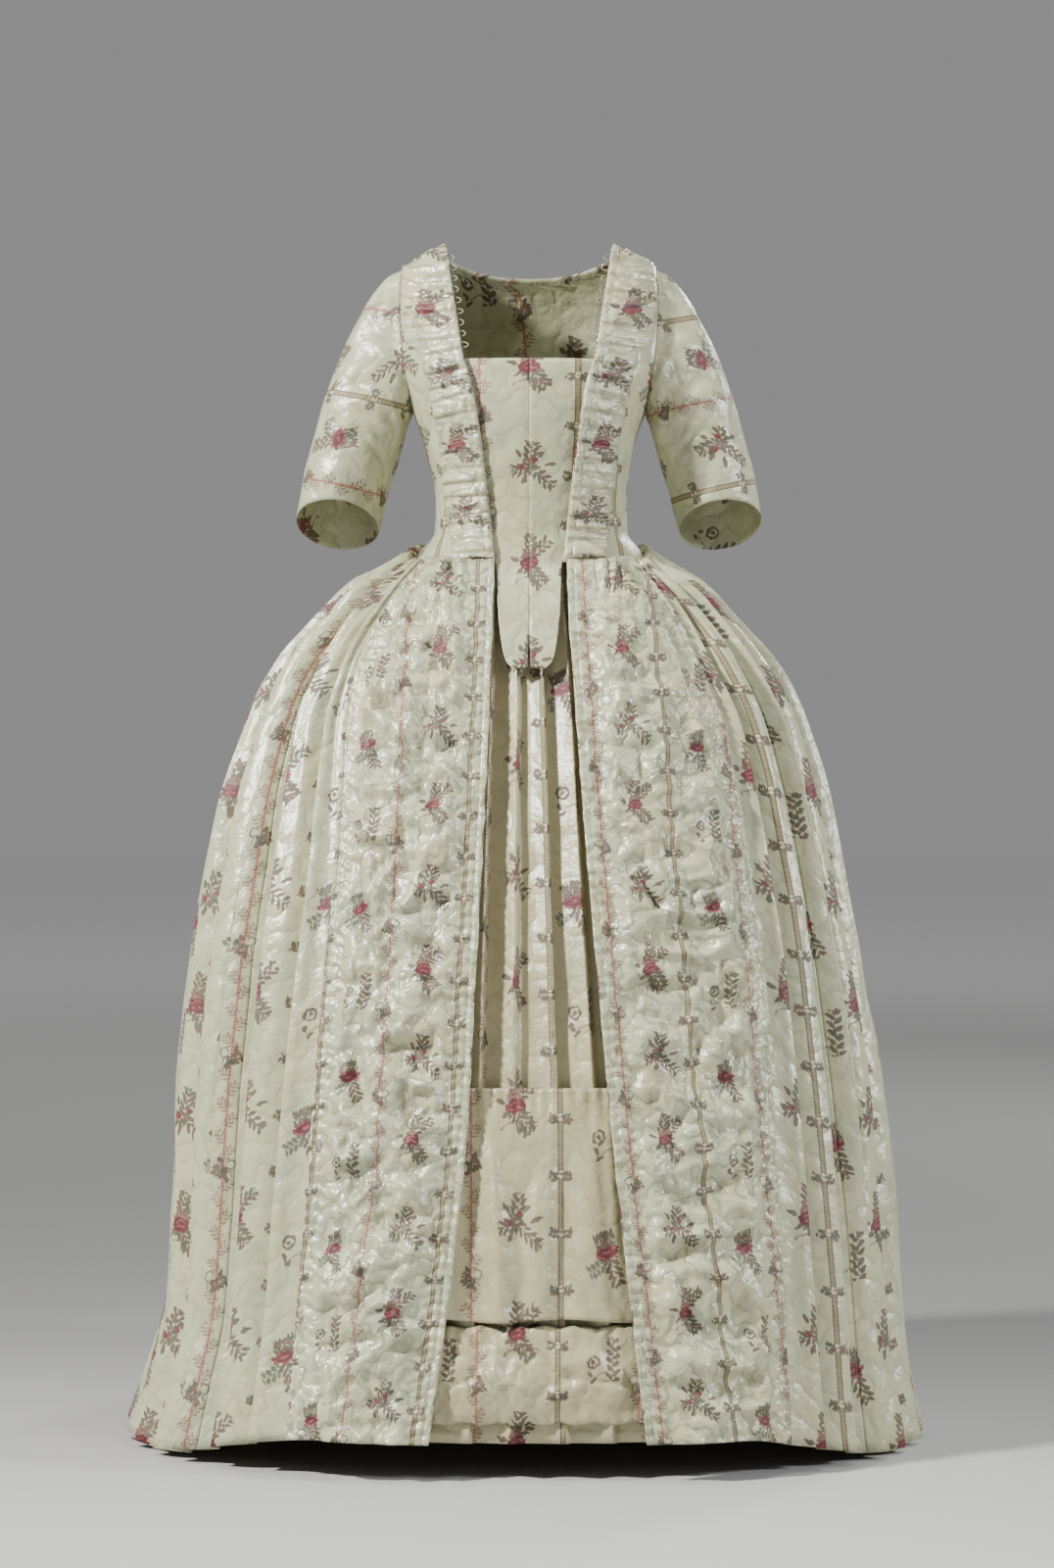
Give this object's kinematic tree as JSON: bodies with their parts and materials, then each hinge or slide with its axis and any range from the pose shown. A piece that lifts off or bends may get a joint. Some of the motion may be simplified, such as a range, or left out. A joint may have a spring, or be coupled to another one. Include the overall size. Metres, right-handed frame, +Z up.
{
  "type": "robe a la francaise",
  "caption": "Robe a la francaise: open silk gown with sack back, ruched skirt trimmings, elbow sleeves and stomacher front, worn over a matching petticoat.",
  "frame": {"origin": "midway between the tops of the two shoulder straps, where the wearer carries the gown", "axes": "+Z up, the wearer faces -Y, +X to the wearer's left"},
  "size_m": [0.9148, 0.9355, 1.3779],
  "materials": {
    "gown_silk": "ivory silk taffeta with woven stripes and floral sprigs, satin",
    "trim_silk": "the same silk, pleated and ruched",
    "petticoat_silk": "the same silk, warmer in tone",
    "loop_thread": "twisted silk thread"
  },
  "bodies": {
    "root": {"bodice_back": "gown_silk", "bodice_front_left": "gown_silk", "bodice_front_right": "gown_silk", "neck_loops_left": "loop_thread", "neck_loops_right": "loop_thread", "petticoat_back": "petticoat_silk", "petticoat_flounce": "petticoat_silk", "petticoat_front": "petticoat_silk", "petticoat_puff": "petticoat_silk", "robing_left": "trim_silk", "robing_right": "trim_silk", "sack_back_left": "gown_silk", "sack_back_right": "gown_silk", "skirt_back_left": "gown_silk", "skirt_back_right": "gown_silk", "skirt_front_left": "gown_silk", "skirt_front_right": "gown_silk", "skirt_side_left": "gown_silk", "skirt_side_right": "gown_silk", "skirt_trim_left": "trim_silk", "skirt_trim_right": "trim_silk", "sleeve_left": "gown_silk", "sleeve_right": "gown_silk", "stomacher_left": "gown_silk", "stomacher_right": "gown_silk"}
  },
  "joints": []
}
